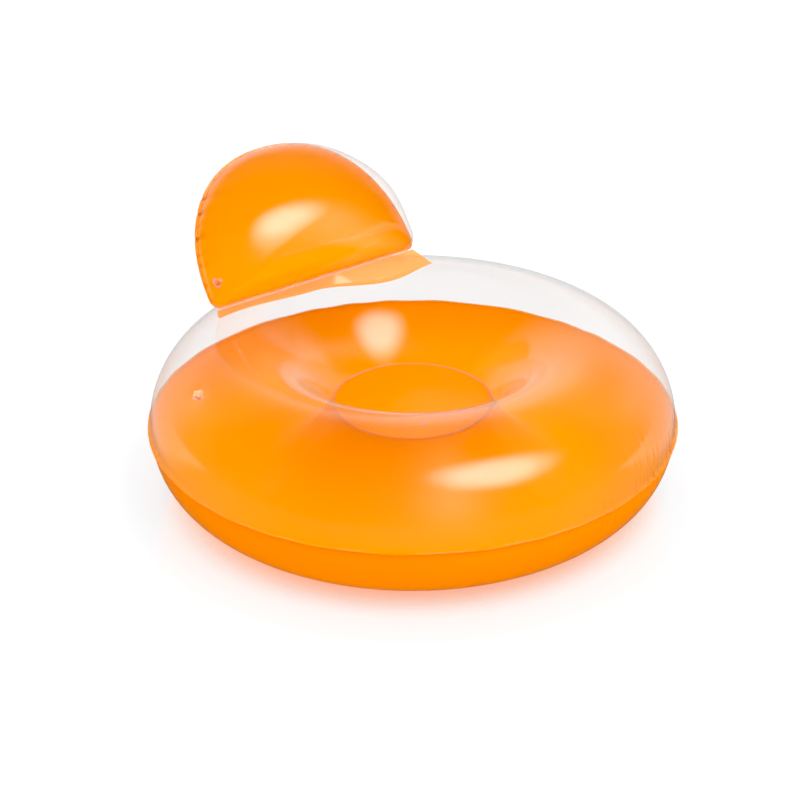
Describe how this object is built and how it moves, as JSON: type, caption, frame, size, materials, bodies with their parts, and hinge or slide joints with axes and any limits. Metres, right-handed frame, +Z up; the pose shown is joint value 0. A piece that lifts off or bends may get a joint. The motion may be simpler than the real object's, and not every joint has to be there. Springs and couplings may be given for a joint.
{
  "type": "inflatable pool lounger",
  "caption": "Inflatable round pool lounger with a clear top film, orange base film and seat sheet, a leaning pillow backrest on a flap and push-in air valves.",
  "frame": {"origin": "centre of the ring's floor contact, on the ring's axis", "axes": "+Z up along the ring's axis, +Y towards the pillow backrest, +X to the sitter's left"},
  "size_m": [1.224, 1.224, 0.6637],
  "materials": {
    "clear_vinyl": "clear glossy vinyl film",
    "orange_vinyl": "translucent glossy orange vinyl film",
    "valve_vinyl": "soft milky moulded vinyl"
  },
  "bodies": {
    "ring": {"ring_top_film": "clear_vinyl", "ring_bottom_film": "orange_vinyl", "seat_sheet": "orange_vinyl", "drain_ring": "valve_vinyl", "pillow_hinge_flap": "orange_vinyl", "ring_valve_base": "valve_vinyl"},
    "pillow": {"pillow_front_film": "clear_vinyl", "pillow_back_film": "orange_vinyl", "pillow_valve_base": "valve_vinyl"},
    "ring_stem": {"ring_valve_stem": "valve_vinyl", "ring_valve_strap": "valve_vinyl"},
    "ring_plug": {"ring_valve_plug": "valve_vinyl"},
    "ring_check": {"ring_valve_check_flap": "valve_vinyl"},
    "pillow_stem": {"pillow_valve_stem": "valve_vinyl", "pillow_valve_strap": "valve_vinyl"},
    "pillow_plug": {"pillow_valve_plug": "valve_vinyl"},
    "pillow_check": {"pillow_valve_check_flap": "valve_vinyl"}
  },
  "joints": [
    {"name": "pillow_lean", "type": "hinge", "parent": "ring", "child": "pillow", "pos_m": [0, 0.36599, 0.37403], "axis": [1, 0, 0], "range_deg": [0, 60]},
    {"name": "ring_stem_pull", "type": "slide", "parent": "ring", "child": "ring_stem", "axis": [-0.5498, 0.1219, 0.8263], "range_m": [0, 0.012]},
    {"name": "ring_plug_pull", "type": "slide", "parent": "ring_stem", "child": "ring_plug", "axis": [-0.5498, 0.1219, 0.8263], "range_m": [0, 0.011], "deforming": ["ring_valve_strap"]},
    {"name": "ring_check_open", "type": "hinge", "parent": "ring_stem", "child": "ring_check", "pos_m": [-0.49739, 0.11693, 0.31783], "axis": [0.8068, -0.1789, 0.5632], "range_deg": [0, 70], "stiffness_Nm_per_rad": 0.0003},
    {"name": "pillow_stem_pull", "type": "slide", "parent": "pillow", "child": "pillow_stem", "axis": [-0.4099, 0.6606, -0.6289], "range_m": [0, 0.012]},
    {"name": "pillow_plug_pull", "type": "slide", "parent": "pillow_stem", "child": "pillow_plug", "axis": [-0.4099, 0.6606, -0.6289], "range_m": [0, 0.011], "deforming": ["pillow_valve_strap"]},
    {"name": "pillow_check_open", "type": "hinge", "parent": "pillow_stem", "child": "pillow_check", "pos_m": [-0.21915, 0.4511, 0.4023], "axis": [-0.0333, 0.6782, 0.7341], "range_deg": [0, 70], "stiffness_Nm_per_rad": 0.0003}
  ]
}
